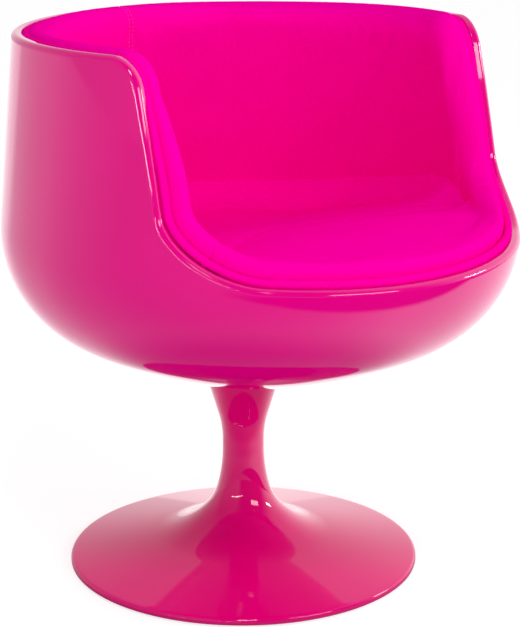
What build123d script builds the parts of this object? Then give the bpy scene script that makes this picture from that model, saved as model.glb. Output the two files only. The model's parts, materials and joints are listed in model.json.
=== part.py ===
from build123d import *
import math
import os

os.makedirs("parts", exist_ok=True)

# Swivel tub armchair. Millimetres, +Z up, the front of the chair looks along -Y.
# The origin lies on the floor, on the swivel axis.

# Driving dimensions: tub
height = 700.0                # floor to the top of the back rim
shell_setback = 33.0          # the tub axis stands this far in front of the swivel axis
shell_bottom = 264.0          # underside of the bowl, on the tub axis
bowl_radius = 520.0           # shallow dish under the seat
bowl_angle = 28.0             # where the dish turns into the flank
flank_radius = 149.4          # rounded flank of the tub
wall_lean = 5.2               # the wall leans inwards above the flank
shell_wall = 10.0
lip_round = 7.5               # rolled outer edge of the rim

# Driving dimensions: front opening, measured in the front view
opening_half_width = 284.0
lip_height = 446.0            # lowest point of the front edge
lip_sweep = 3000.0            # the front edge rises very slightly to the sides
opening_corner = 76.0         # inner corner under each arm
arm_corner = 34.0             # rounded top front corner of each arm

# Driving dimensions: upholstery
pad_gap = 0.6                 # glue line between shell and pads
pad_thickness = 45.0
pad_proud_back = 4.0          # the padded roll stands out of the rim by this much round the back
pad_proud_front = 26.0        # and by this much at the front
pad_proud_run = 150.0         # height over which it grows, down from the tops of the arms
welt_size = 11.0              # round welt that lies inside the rim
welt_gap = 0.4
welt_drop = 0.6               # the welt lies this far below the rim
welt_share = 0.45             # and stands up against this share of the roll
welt_round = 4.5
seam_inset = 20.5             # side seams of seat and arm pads, in from the sides of the opening
seam_gap = 0.5
seat_top = 469.4              # level front of the seat
seat_dip = 48.0               # the seat falls by this much to the back
seat_dip_run = 380.0          # depth over which it falls, centred on the tub axis
seat_underside = 402.0
seat_edge_round = 12.0
pad_crown = 25.0              # rounded inner edge of the arm and back pads
pad_border_round = 7.0

# Driving dimensions: seat frame
board_thickness = 12.0
board_radius = 288.0
bearer_length = 90.0
bearer_width = 40.0
bearer_circle = 185.0         # distance of the bearers from the tub axis
bearer_count = 4
wood_screw_size = 5.0
wood_screw_length = 40.0
block_radius = 78.0
block_height = 24.0
boss_radius = 44.0            # moulded boss under the tub
boss_bottom = 260.0
boss_embed = 0.8              # share of the shell wall that the boss is moulded into
glue_line = 0.2
screw_spread = 0.28           # place of the bearer screws, as a share of the bearer length
screw_sink = 0.4              # countersunk heads lie this far below the surface
countersink_gap = 0.8
countersink_depth = 0.5
slot_width = 1.2
slot_depth = 1.5
pilot_spare = 2.0             # pilot holes are this much deeper than the screws

# Driving dimensions: swivel
bolt_size = 8.0
bolt_circle = 60.0
bolt_count = 4
bolt_hole_clearance = 0.4
bolt_head_across = 13.0
bolt_head_height = 5.3
bolt_washer = 1.6
bolt_washer_radius = 7.8
bolt_spare = 1.0              # the bolts end this far above the tee nuts
tee_depth = 10.0              # tee nuts in the mounting block
tee_flange = 11.0
tee_plate = 1.6
tee_wall = 1.0
tee_clear = 0.2
plate_radius = 42.0
plate_thickness = 6.0
spindle_radius = 12.5
spindle_fit = 0.05            # running clearance of the spindle in its bushes
hub_radius = 21.0
hub_height = 14.0
race_thickness = 3.0
ball_size = 5.0
ball_count = 14
ball_circle = 34.0
ball_fit = 0.05
cage_thickness = 2.6
cage_inset = 0.5
cage_clearance = 0.9
race_clearance = 0.6
bush_wall = 5.5
bush_length = 30.0
bush_flange = 3.0
circlip_thickness = 1.6
circlip_depth = 1.5
circlip_reach = 3.0
circlip_gap = 7.0
washer_thickness = 2.0
washer_bore = 0.1
washer_inset = 0.6
end_play = 0.3
lower_bush_bottom = 70.0
spindle_tail = 8.0
spindle_chamfer = 1.5

# Driving dimensions: pedestal
base_radius = 227.5
base_edge = 5.0               # rolled edge of the foot
foot_slope = 12.2             # the foot falls outwards by this many degrees
flare_angle = 45.0
neck_angle = 15.0
waist_radius = 27.2
waist_bottom = 152.0
waist_top = 164.0
neck_curve = 200.0
flare_curve = 70.0
dish_curve = 129.0
cup_curve = 120.0
cup_angle = 17.0
cup_top = 256.0
pedestal_wall = 4.0
column_wall = 4.0
sleeve_length = 24.0
ballast_radius = 178.0
ballast_thickness = 8.0
pad_floor = 2.5               # felt disc under the foot
pad_floor_inset = 1.5
base_screw_size = 6.0
base_screw_length = 13.5
base_screw_circle = 128.0
base_screw_count = 4
base_boss_radius = 9.0
base_thread = 7.2             # depth of the threaded holes in the bosses
base_key = 4.0                # hexagon socket of the base screws
base_key_depth = 2.5
thread_gap = 0.05
screw_clearance = 0.3

# Working values of the model
rim_mid = 310.0               # mean wall radius, for lengths along the rim
rim_inner = 150.0             # radii between which the rim surface spans the wall
rim_outer = 420.0
rim_detail = 10               # fine steps along the rim for each point of its spline
corner_hold = 0.55            # handle length of a rounded corner
tall = height + 60.0          # cutting tools that reach right through
over = 1.0                    # cutting tools start this far outside a face
sliver = 0.01                 # or this far where they only break through it
loop_reach = 3.0              # tolerances for finding the edges along the rim
loop_tolerance = 0.6
standing = (Align.CENTER, Align.CENTER, Align.MIN)


def sind(a):
    return math.sin(math.radians(a))


def cosd(a):
    return math.cos(math.radians(a))


# Tub profile: dish, flank and leaning wall, all tangent; d is the inward offset
flank_angle = 90.0 + wall_lean
flank_r = (bowl_radius - flank_radius) * sind(bowl_angle)
flank_z = shell_bottom + bowl_radius - (bowl_radius - flank_radius) * cosd(bowl_angle)
dish_z = shell_bottom + bowl_radius


def lean_radius(z, d=0.0):
    # radius of the leaning wall, carried straight on, at height z
    rad = flank_radius - d
    z_turn = flank_z - rad * cosd(flank_angle)
    return flank_r + rad * sind(flank_angle) - (z - z_turn) * math.tan(math.radians(wall_lean))


def wall_radius(z, d=0.0):
    # outer radius of the tub at height z, on flank and wall
    rad = flank_radius - d
    if z >= flank_z - rad * cosd(flank_angle):
        return lean_radius(z, d)
    return flank_r + math.sqrt(rad ** 2 - (z - flank_z) ** 2)


def bowl(d, top):
    # solid of revolution inside the tub profile at offset d, closed by a plane at height top
    r1 = bowl_radius - d
    r2 = flank_radius - d
    p0 = (0, 0, dish_z - r1)
    pm1 = (0, r1 * sind(bowl_angle / 2), dish_z - r1 * cosd(bowl_angle / 2))
    p1 = (0, r1 * sind(bowl_angle), dish_z - r1 * cosd(bowl_angle))
    mid = (bowl_angle + flank_angle) / 2
    pm2 = (0, flank_r + r2 * sind(mid), flank_z - r2 * cosd(mid))
    p2 = (0, flank_r + r2 * sind(flank_angle), flank_z - r2 * cosd(flank_angle))
    p3 = (0, wall_radius(top, d), top)
    p4 = (0, 0, top)
    dish = ThreePointArc(p0, pm1, p1)
    flank = ThreePointArc(p1, pm2, p2)
    outline = Wire([dish, flank, Line(p2, p3), Line(p3, p4), Line(p4, p0)])
    return revolve(Face(outline), Axis.Z)


def sector(half_angle):
    # wedge about the front that bounds a pad by its side seams
    steps = 6
    pts = [(0, 0)]
    for i in range(steps + 1):
        a = -90.0 - half_angle + 2 * half_angle * i / steps
        pts.append((tall * cosd(a), tall * sind(a)))
    return extrude(make_face(Polyline(*pts, close=True)), amount=tall)


def rim_half():
    # the rim from the front centre to the top of the arm: (degrees from the front, height)
    a1 = math.degrees(math.asin((opening_half_width - opening_corner) / (lip_sweep - opening_corner)))
    cx = (lip_sweep - opening_corner) * sind(a1)
    cz = lip_height + lip_sweep - (lip_sweep - opening_corner) * cosd(a1)
    front = []
    sweep_steps = 10 * rim_detail
    for i in range(sweep_steps):
        t = a1 * i / sweep_steps
        front.append((lip_sweep * sind(t), lip_height + lip_sweep * (1 - cosd(t))))
    corner_steps = 9 * rim_detail
    for i in range(corner_steps):
        t = a1 + (90 - a1) * i / corner_steps
        front.append((cx + opening_corner * sind(t), cz - opening_corner * cosd(t)))
    z_top = height - arm_corner
    side_steps = 8 * rim_detail
    for i in range(side_steps + 1):
        front.append((opening_half_width, cz + (z_top - cz) * i / side_steps))
    pts = [(math.degrees(math.asin(x / wall_radius(z))), z) for x, z in front]
    # rounded top corner of the arm, drawn on the unrolled wall
    r = wall_radius(z_top)
    s0 = math.radians(pts[-1][0]) * r
    before = math.radians(pts[-2][0]) * r
    slope = (s0 - before) / (pts[-1][1] - pts[-2][1])
    corner = (s0 + slope * arm_corner, height)
    end = (corner[0] + arm_corner, height)
    c1 = (s0 + corner_hold * (corner[0] - s0), z_top + corner_hold * arm_corner)
    c2 = (end[0] + corner_hold * (corner[0] - end[0]), height)
    arm_steps = 7 * rim_detail
    for i in range(1, arm_steps + 1):
        t = i / arm_steps
        b = [(1 - t) ** 3, 3 * t * (1 - t) ** 2, 3 * t * t * (1 - t), t ** 3]
        s = b[0] * s0 + b[1] * c1[0] + b[2] * c2[0] + b[3] * end[0]
        z = b[0] * z_top + b[1] * c1[1] + b[2] * c2[1] + b[3] * end[1]
        pts.append((math.degrees(s / r), z))
    return pts


def smooth_step(t):
    t = min(max(t, 0.0), 1.0)
    return t * t * (3 - 2 * t)


def pad_proud(z):
    # how far the padded roll stands out of the rim where the rim is at height z
    growth = smooth_step((height - z) / pad_proud_run)
    return pad_proud_back + (pad_proud_front - pad_proud_back) * growth


def rim_path(drop, share=0.0):
    # the whole front run of the rim, moved into the wall by drop and out of it by a share of the roll
    half = rim_half()
    pts = [(-a, z) for a, z in reversed(half[1:])] + half
    out = []
    last = len(pts) - 1
    for i, (a, z) in enumerate(pts):
        a0, z0 = pts[max(i - 1, 0)]
        a1, z1 = pts[min(i + 1, last)]
        r = wall_radius(z)
        ds = math.radians(a1 - a0) * r
        dz = z1 - z0
        n = math.hypot(ds, dz)
        move = drop - share * pad_proud(z)
        if i == 0 or i == last:
            out.append((a, z - move))
        else:
            out.append((a + math.degrees(move * dz / n / r), z - move * ds / n))
    return out[::rim_detail]


def rim_surface(drop, share=0.0):
    # radial ruled surface through the rim all round the tub
    path = rim_path(drop, share)
    length = [0.0]
    for (a0, z0), (a1, z1) in zip(path, path[1:]):
        length.append(length[-1] + math.hypot(math.radians(a1 - a0) * rim_mid, z1 - z0))
    params = [v / length[-1] for v in length]
    edges = []
    for r in (rim_inner, rim_outer):
        pts = [Vector(r * sind(a), -r * cosd(a), z) for a, z in path]
        ends = []
        for i in (0, -1):
            a = path[i][0]
            speed = length[-1] * r / rim_mid
            ends.append(Vector(cosd(a) * speed, sind(a) * speed, 0))
        run = Edge.make_spline(pts, tangents=ends, parameters=params, scale=False)
        z = path[-1][1]
        back = ThreePointArc(pts[-1], (0, r, z), pts[0])
        edges.append((run, back))
    front = Face.make_surface_from_curves(edges[0][0], edges[1][0])
    rear = Face.make_surface_from_curves(edges[0][1], edges[1][1])
    return Shell([front, rear])


def below(solid, drop, share=0.0):
    # the part of a tub solid that lies under the rim surface
    pieces = solid.split(rim_surface(drop, share), keep=Keep.ALL)
    return min(pieces, key=lambda s: s.center().Z)


def above(solid, drop):
    pieces = solid.split(rim_surface(drop), keep=Keep.ALL)
    return max(pieces, key=lambda s: s.center().Z)


def rim_loop(solid, d, drop=0.0):
    # edges of a tub solid that follow the rim on the face at offset d
    found = []
    for e in solid.edges():
        pts = [e.position_at(t) for t in (0.1, 0.35, 0.6, 0.9)]
        low = min(p.Z for p in pts)
        high = max(p.Z for p in pts)
        if low < lip_height - drop - loop_reach or e.geom_type == GeomType.LINE:
            continue
        if any(abs(math.hypot(p.X, p.Y) - wall_radius(p.Z, d)) > loop_tolerance for p in pts):
            continue
        if high - low < sliver and abs(high - height + drop) > over:
            continue
        found.append(e)
    return found


def wall(d_out, d_in, bottom=None):
    # wall of the tub between two offsets, open at the top, optionally cut at a level
    ring = bowl(d_out, tall) - bowl(d_in, tall)
    if bottom is not None:
        ring = ring & (Pos(0, 0, bottom) * disc(rim_outer, tall))
    return ring.solid()


def disc(r, h):
    return Cylinder(r, h, align=standing)


def tube(r_out, r_in, z0, z1):
    ring = disc(r_out, z1 - z0) - disc(r_in, z1 - z0)
    return Pos(0, 0, z0) * ring


def on_circle(r, count, start=0.0):
    return [(r * cosd(start + 360 * i / count), r * sind(start + 360 * i / count)) for i in range(count)]


def group(shapes):
    return Compound(children=[s.solid() for s in shapes])


def hexagon(across, h):
    return extrude(RegularPolygon(across / math.sqrt(3), 6), amount=h)


tub = Pos(0, -shell_setback, 0)
parts = {}

# Levels of the swivel, from the tub downwards
plate_bottom = boss_bottom - plate_thickness
hub_bottom = plate_bottom - hub_height
upper_race_bottom = hub_bottom - race_thickness
ball_level = upper_race_bottom - ball_fit - ball_size / 2
lower_race_top = ball_level - ball_size / 2 - ball_fit
lower_race_bottom = lower_race_top - race_thickness
column_top = lower_race_bottom - bush_flange
column_inner = spindle_radius + bush_wall
column_outer = column_inner + column_wall
ballast_top = pad_floor + ballast_thickness
block_top = shell_bottom + shell_wall + block_height
board_bottom = seat_underside - board_thickness
bolts = on_circle(bolt_circle / 2, bolt_count, 45)
bolt_hole = bolt_size / 2 + bolt_hole_clearance

# Tub shell with its rolled rim and the moulded boss on the swivel axis
shell = below(wall(0, shell_wall), 0)
shell = shell.fillet(lip_round, rim_loop(shell, 0))
shell = tub * shell
boss = Pos(0, 0, boss_bottom) * disc(boss_radius, shell_bottom + shell_wall * boss_embed - boss_bottom)
shell = shell + boss
for x, y in bolts:
    shell = shell - Pos(x, y, boss_bottom - over) * disc(bolt_hole, tall)
parts["shell"] = shell

# Plywood block laminated into the bottom of the tub
block = Pos(0, 0, shell_bottom) * disc(block_radius, block_top - shell_bottom)
block = block & (tub * bowl(shell_wall + glue_line, tall))
tee_barrel = bolt_size / 2 + tee_wall
for x, y in bolts:
    block = block - Pos(x, y, shell_bottom) * disc(bolt_hole, tall)
    block = block - Pos(x, y, block_top - tee_depth) * disc(tee_barrel, tee_depth + over)
parts["mounting_block"] = block

# Four bearers carry the seat board
bearers = []
screw_spots = []
for i in range(bearer_count):
    a = 45 + 360 * i / bearer_count
    place = Rot(0, 0, a) * Pos(bearer_circle, 0, 0)
    bar = place * Box(bearer_width, bearer_length, board_bottom - shell_bottom,
                      align=standing)
    bar = Pos(0, 0, shell_bottom) * bar
    bar = bar & bowl(shell_wall + glue_line, tall)
    for side in (-1, 1):
        spot = (place * Pos(0, side * screw_spread * bearer_length, 0)).position
        screw_spots.append((spot.X, spot.Y))
        tip = seat_underside - wood_screw_length - pilot_spare
        bar = bar - Pos(spot.X, spot.Y, tip) * disc(wood_screw_size / 2 + thread_gap, wood_screw_length)
    bearers.append(tub * bar)
parts["bearers"] = group(bearers)

# Seat board and its countersunk wood screws
board = Pos(0, 0, board_bottom) * disc(board_radius, board_thickness)
screw_head = wood_screw_size
screw_cone = screw_head - wood_screw_size / 2
screw_hole = wood_screw_size / 2 + screw_clearance
slot = Box(slot_width, 2 * (screw_head + over), slot_depth + over, align=standing)
screws = []
for x, y in screw_spots:
    board = board - Pos(x, y, board_bottom - over) * disc(screw_hole, tall)
    head_top = seat_underside - screw_sink
    cone = Cone(screw_head + countersink_gap, screw_hole, screw_cone + countersink_depth,
                rotation=(180, 0, 0), align=standing)
    board = board - Pos(x, y, seat_underside + sliver) * cone
    head = Cone(screw_head, wood_screw_size / 2, screw_cone,
                rotation=(180, 0, 0), align=standing)
    screw = Pos(x, y, head_top) * head
    shank = disc(wood_screw_size / 2, wood_screw_length - over)
    screw = screw + Pos(x, y, head_top - wood_screw_length) * shank
    screw = screw - Pos(x, y, head_top - slot_depth) * slot
    screws.append(tub * screw)
parts["seat_board"] = tub * board
parts["seat_board_screws"] = group(screws)

# Upholstery offsets from the outside of the tub
pad_back = shell_wall + pad_gap
welt_face = pad_back + welt_size
pad_front = welt_face + welt_gap
pad_face = pad_back + pad_thickness
seat_floor = seat_underside + glue_line
welt_seat = welt_size + welt_gap

# Padded roll: it follows the rim all round, in the seat at the front and in the pads elsewhere
roll_limit = bowl(pad_front, tall)


def lean_body(d):
    # solid inside the leaning wall at offset d, carried straight down to the seat board
    low = (0, lean_radius(seat_floor, d), seat_floor)
    high = (0, lean_radius(tall, d), tall)
    outline = Polyline((0, 0, seat_floor), low, high, (0, 0, tall), close=True)
    return revolve(Face(Wire(outline.edges())), Axis.Z)


def rounded_roll(cut):
    # one stretch of the roll: both edges rounded, then its foot behind the welt
    core = cut(roll).solid()
    core = core.fillet(pad_crown, rim_loop(core, pad_face, -pad_proud_back))
    core = core.fillet(pad_border_round, rim_loop(core, pad_front, -pad_proud_back))
    return (core & roll_limit) + cut(roll_foot)


roll = below((lean_body(pad_front) - lean_body(pad_face)).solid(), 0, share=1.0)
roll_foot = below(wall(pad_back, pad_front + pad_border_round, seat_floor), welt_seat)
seam_sine = (opening_half_width - seam_inset) / wall_radius(lip_height)
seat_seam = math.degrees(math.asin(seam_sine))
seam_slack = seam_gap / 10
front_wedge = sector(seat_seam - seam_slack)
side_wedge = sector(seat_seam + seam_slack)
half_space = Box(tall, 2 * tall, 2 * tall, align=(Align.MIN, Align.CENTER, Align.CENTER))
half_space = Pos(seam_gap / 2, 0, 0) * half_space

# Seat cushion: level at the front, falling to the back, with the front of the roll over the welt
seat_half = seat_dip_run / 2
seat_reach = rim_outer


def seat_level(y):
    return seat_top - seat_dip * smooth_step((y + seat_half) / seat_dip_run)


def seat_slab(d):
    # pad inside the leaning wall at offset d, cut to the seat line
    steps = 16
    line = []
    for i in range(steps + 1):
        y = -seat_reach + 2 * seat_reach * i / steps
        line.append((-seat_reach, y, seat_level(y)))
    seat_line = Spline(*line, tangents=[(0, 1, 0), (0, 1, 0)])
    front, back = line[0], line[-1]
    over = Wire([seat_line, Line(back, (-seat_reach, seat_reach, tall)),
                 Line((-seat_reach, seat_reach, tall), (-seat_reach, -seat_reach, tall)),
                 Line((-seat_reach, -seat_reach, tall), front)])
    return (lean_body(d) - extrude(Face(over), amount=2 * seat_reach, dir=(1, 0, 0))).solid()


seat_rear = seat_slab(pad_face + seam_gap)
seat_edge = [e for e in seat_rear.edges() if e.center().Z > seat_floor + over and e.length > board_radius]
seat_rear = seat_rear.fillet(seat_edge_round, seat_edge)
seat_nose = seat_slab(pad_front + pad_border_round) & roll_limit & front_wedge
seat = seat_rear + seat_nose + rounded_roll(lambda s: s & front_wedge)
parts["seat_cushion"] = tub * seat.solid()

# Arm and back pads, left and right, sewn together behind the sitter
right_pad = rounded_roll(lambda s: (s - side_wedge) & half_space).solid()
parts["pad_right"] = tub * right_pad
parts["pad_left"] = tub * mirror(right_pad, Plane.YZ)

# Welts: the roll between rim and pads
welt = above(below(wall(pad_back + glue_line, welt_face), welt_drop, welt_share), welt_size + glue_line)
for d in (pad_back + glue_line, welt_face):
    welt = welt.fillet(welt_round, rim_loop(welt, d, welt_drop - welt_share * pad_proud_back))
parts["seat_welt"] = tub * (welt & sector(seat_seam - seam_gap / 2)).solid()
parts["back_welt"] = tub * (welt - sector(seat_seam + seam_gap / 2)).solid()

# Swivel plate, spindle and retaining hardware
plate = Pos(0, 0, plate_bottom) * disc(plate_radius, plate_thickness)
for x, y in bolts:
    plate = plate - Pos(x, y, plate_bottom - over) * disc(bolt_hole, tall)
parts["swivel_plate"] = plate
clip_top = lower_bush_bottom - end_play - washer_thickness
clip_bottom = clip_top - circlip_thickness
spindle_bottom = clip_bottom - spindle_tail
spindle = Pos(0, 0, spindle_bottom) * disc(spindle_radius, plate_bottom - spindle_bottom)
spindle = spindle + Pos(0, 0, hub_bottom) * disc(hub_radius, hub_height)
spindle = spindle - tube(spindle_radius + over, spindle_radius - circlip_depth, clip_bottom, clip_top)
tail = [e for e in spindle.edges() if abs(e.position_at(0).Z - spindle_bottom) < sliver]
spindle = chamfer(tail, spindle_chamfer)
parts["spindle"] = spindle
parts["retaining_washer"] = tube(column_inner - washer_inset, spindle_radius + washer_bore,
                                 clip_top, clip_top + washer_thickness)
circlip = tube(spindle_radius + circlip_reach, spindle_radius - circlip_depth, clip_bottom, clip_top)
circlip = circlip - Pos(0, spindle_radius, clip_bottom - over) * Box(
    circlip_gap, spindle_radius, circlip_thickness + 2 * over, align=standing)
parts["retaining_clip"] = circlip
washers = []
bolt_set = []
nuts = []
washer_bottom = plate_bottom - bolt_washer
for x, y in bolts:
    washers.append(Pos(x, y, 0) * tube(bolt_washer_radius, bolt_hole, washer_bottom, plate_bottom))
    bolt = Pos(x, y, washer_bottom - bolt_head_height) * hexagon(bolt_head_across, bolt_head_height)
    tip = block_top + tee_plate + bolt_spare
    bolt = bolt + Pos(x, y, washer_bottom) * disc(bolt_size / 2, tip - washer_bottom)
    bolt_set.append(bolt)
    nut = Pos(x, y, block_top) * disc(tee_flange, tee_plate)
    nut = nut + Pos(x, y, block_top - tee_depth + tee_clear) * disc(tee_barrel - thread_gap, tee_depth)
    nut = nut - Pos(x, y, block_top - tee_depth - over) * disc(bolt_size / 2 + thread_gap, tall)
    nuts.append(nut)
parts["bolt_washers"] = group(washers)
parts["mounting_bolts"] = group(bolt_set)
parts["tee_nuts"] = group(nuts)

# Thrust bearing
parts["upper_race"] = tube(hub_radius, spindle_radius + spindle_fit, upper_race_bottom, hub_bottom)
parts["lower_race"] = tube(hub_radius, spindle_radius + race_clearance, lower_race_bottom, lower_race_top)
cage = tube(hub_radius - cage_inset, spindle_radius + cage_clearance,
            ball_level - cage_thickness / 2, ball_level + cage_thickness / 2)
ball_spots = on_circle(ball_circle / 2, ball_count)
for x, y in ball_spots:
    cage = cage - Pos(x, y, ball_level - ball_size) * disc(ball_size / 2 + ball_fit, 2 * ball_size)
parts["ball_cage"] = cage
parts["bearing_balls"] = group([Pos(x, y, ball_level) * Sphere(ball_size / 2) for x, y in ball_spots])

# Column with its two bushes
parts["column_tube"] = tube(column_outer, column_inner, pad_floor, column_top)
bush_bore = spindle_radius + spindle_fit
upper_bush = tube(column_inner, bush_bore, column_top - bush_length, column_top)
upper_bush = upper_bush + tube(column_outer, bush_bore, column_top, lower_race_bottom)
parts["upper_bush"] = upper_bush
parts["lower_bush"] = tube(column_inner, bush_bore, lower_bush_bottom, lower_bush_bottom + bush_length)


# Trumpet pedestal: cup, waist, neck, flare and foot, all tangent; d is the inward offset
def arc_points(cx, cz, r, t0, t1):
    return [(0, cx - r * cosd(t), cz - r * sind(t)) for t in (t0, (t0 + t1) / 2, t1)]


def pedestal_solid(d, edge_radius, bottom):
    steps = [(neck_curve, 0, neck_angle), (flare_curve, neck_angle, flare_angle),
             (dish_curve, flare_angle, 90 - foot_slope)]
    r, z = waist_radius, waist_bottom
    arcs = []
    for curve, t0, t1 in steps:
        cx = r + curve * cosd(t0)
        cz = z + curve * sind(t0)
        arcs.append(ThreePointArc(*arc_points(cx, cz, curve + d, t0, t1)))
        r = cx - curve * cosd(t1)
        z = cz - curve * sind(t1)
    foot_in = arcs[-1] @ 1
    drop = (edge_radius - foot_in.Y) * math.tan(math.radians(foot_slope))
    foot_out = (0, edge_radius, foot_in.Z - drop)
    floor_out = (0, edge_radius, bottom)
    cup_x = waist_radius + cup_curve
    cup = ThreePointArc(*arc_points(cup_x, waist_top, cup_curve + d, 0, -cup_angle))
    cup_in = cup @ 1
    cup_out = (0, cup_in.Y + (cup_top - cup_in.Z) * math.tan(math.radians(cup_angle)), cup_top)
    waist = Line(cup @ 0, arcs[0] @ 0)
    outline = Wire([Line((0, 0, cup_top), cup_out), Line(cup_out, cup_in), cup, waist] + arcs + [
        Line(foot_in, foot_out), Line(foot_out, floor_out), Line(floor_out, (0, 0, bottom)),
        Line((0, 0, bottom), (0, 0, cup_top))])
    return revolve(Face(outline), Axis.Z)


outside = pedestal_solid(0, base_radius, pad_floor).solid()
rings = [e for e in outside.edges() if e.geom_type == GeomType.CIRCLE]
rings = [e for e in rings if e.position_at(0).Z > pad_floor + over]
edge = [e for e in rings if e.length > 2 * math.pi * (base_radius - over)]
outside = outside.fillet(base_edge, edge)
inside = pedestal_solid(pedestal_wall, base_radius - 2 * pedestal_wall, pad_floor)
base_bosses = []
base_holes = []
for x, y in on_circle(base_screw_circle, base_screw_count, 45):
    base_bosses.append(Pos(x, y, ballast_top) * disc(base_boss_radius, tall) & outside)
    thread = disc(base_screw_size / 2 + thread_gap, over + base_thread)
    base_holes.append(Pos(x, y, ballast_top - over) * thread)
pedestal = outside - inside
for b in base_bosses:
    pedestal = pedestal + b
for h in base_holes:
    pedestal = pedestal - h
parts["pedestal"] = pedestal

# Centring sleeve between column and pedestal, at the waist
sleeve_mid = (waist_bottom + waist_top) / 2
parts["centring_sleeve"] = tube(waist_radius - pedestal_wall, column_outer,
                                sleeve_mid - sleeve_length / 2, sleeve_mid + sleeve_length / 2)

# Ballast plate, its screws and the felt disc
ballast = tube(ballast_radius, column_outer, pad_floor, ballast_top)
base_screws = []
base_head = base_screw_size
base_cone = base_head - base_screw_size / 2
base_hole = base_screw_size / 2 + screw_clearance
for x, y in on_circle(base_screw_circle, base_screw_count, 45):
    ballast = ballast - Pos(x, y, pad_floor - over) * disc(base_hole, tall)
    ballast = ballast - Pos(x, y, pad_floor - sliver) * Cone(
        base_head + countersink_gap, base_hole, base_cone + countersink_depth, align=standing)
    screw = Pos(x, y, pad_floor + screw_sink) * Cone(
        base_head, base_screw_size / 2, base_cone, align=standing)
    screw = screw + Pos(x, y, pad_floor + over) * disc(base_screw_size / 2, base_screw_length - over)
    screw = screw - Pos(x, y, pad_floor) * hexagon(base_key, base_key_depth)
    base_screws.append(screw)
parts["ballast_plate"] = ballast
parts["base_screws"] = group(base_screws)
parts["floor_pad"] = disc(base_radius - base_edge - pad_floor_inset, pad_floor)

for name, shape in parts.items():
    export_step(shape, "parts/" + name + ".step")
    print(name, round(shape.volume / 1000, 1), "cm3")
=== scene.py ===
# %% [markdown]
# # A swivel tub armchair
# The chair is a round glass-fibre tub in pink gloss lacquer, lined with felted wool, on a trumpet
# pedestal in the same lacquer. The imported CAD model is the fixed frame: every piece made here is placed in
# its coordinates, in metres, with the floor at z = 0, the swivel axis on z and the front along -Y.
# The lesson builds the shell, the pedestal and the padded lining, mixes the finishes, sews on the welts and
# stitches, and then sets up the camera and a white studio.

# %% Load the frame
import json
import math
import bpy
import numpy as np
from mathutils import Matrix, Vector


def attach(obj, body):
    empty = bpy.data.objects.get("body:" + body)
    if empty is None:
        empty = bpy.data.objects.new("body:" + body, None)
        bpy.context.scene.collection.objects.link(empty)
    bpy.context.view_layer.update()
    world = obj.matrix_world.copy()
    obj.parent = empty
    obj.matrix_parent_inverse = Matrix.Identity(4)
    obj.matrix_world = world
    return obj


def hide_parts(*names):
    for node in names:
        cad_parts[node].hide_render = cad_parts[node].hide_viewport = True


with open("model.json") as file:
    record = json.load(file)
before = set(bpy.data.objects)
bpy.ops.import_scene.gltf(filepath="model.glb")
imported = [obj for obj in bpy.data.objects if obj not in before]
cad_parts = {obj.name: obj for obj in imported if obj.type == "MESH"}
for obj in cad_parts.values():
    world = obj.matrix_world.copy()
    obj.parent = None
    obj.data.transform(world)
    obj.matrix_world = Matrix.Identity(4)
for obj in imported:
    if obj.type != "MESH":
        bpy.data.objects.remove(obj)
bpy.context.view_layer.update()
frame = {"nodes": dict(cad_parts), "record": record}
scene = bpy.context.scene
MM = 0.001

# %% [markdown]
# ## The tub as a formula
# The tub is turned: a shallow dish, a round flank and a wall that leans in, all tangent. A point on it
# is known from its height and its angle from the front, and every layer of the chair is the same surface
# moved inwards. Writing the surface once keeps shell, pads and welts in step, and it gives exact
# normals, which a gloss lacquer needs for clean reflections.

# %% Sizes and surface of the tub, in millimetres
height = 700.0
setback = 33.0              # the tub axis stands in front of the swivel axis
shell_bottom = 264.0
bowl_radius, bowl_angle = 520.0, 28.0
flank_radius, wall_lean = 149.4, 5.2
shell_wall = 10.0
flank_angle = 90.0 + wall_lean


def sind(a):
    return np.sin(np.radians(a))


def cosd(a):
    return np.cos(np.radians(a))


flank_r = (bowl_radius - flank_radius) * sind(bowl_angle)
flank_z = shell_bottom + bowl_radius - (bowl_radius - flank_radius) * cosd(bowl_angle)
turn_z = flank_z - flank_radius * cosd(flank_angle)
turn_r = flank_r + flank_radius * sind(flank_angle)
dish_length = bowl_radius * math.radians(bowl_angle)
flank_length = flank_radius * math.radians(flank_angle - bowl_angle)
print("the flank turns into the wall at", round(float(turn_z), 1), "mm")

# %% Radius and length by height


def wall_radius(z):
    """Outer radius of the tub at a height on flank or wall."""
    z = np.asarray(z, float)
    on_flank = flank_r + np.sqrt(np.maximum(flank_radius ** 2 - (z - flank_z) ** 2, 0.0))
    on_wall = turn_r - (z - turn_z) * math.tan(math.radians(wall_lean))
    return np.where(z < turn_z, on_flank, on_wall)


def length_at(z):
    """Distance along the outside from the bottom of the tub to a height on flank or wall."""
    z = np.asarray(z, float)
    t = np.degrees(np.arccos(np.clip((flank_z - z) / flank_radius, -1, 1)))
    on_flank = dish_length + flank_radius * np.radians(t - bowl_angle)
    on_wall = dish_length + flank_length + (z - turn_z) / cosd(wall_lean)
    return np.where(z < turn_z, on_flank, on_wall)


print("from the bottom to the top edge", round(float(length_at(height)), 1), "mm along the outside")

# %% Point and normal anywhere on the tub


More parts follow.
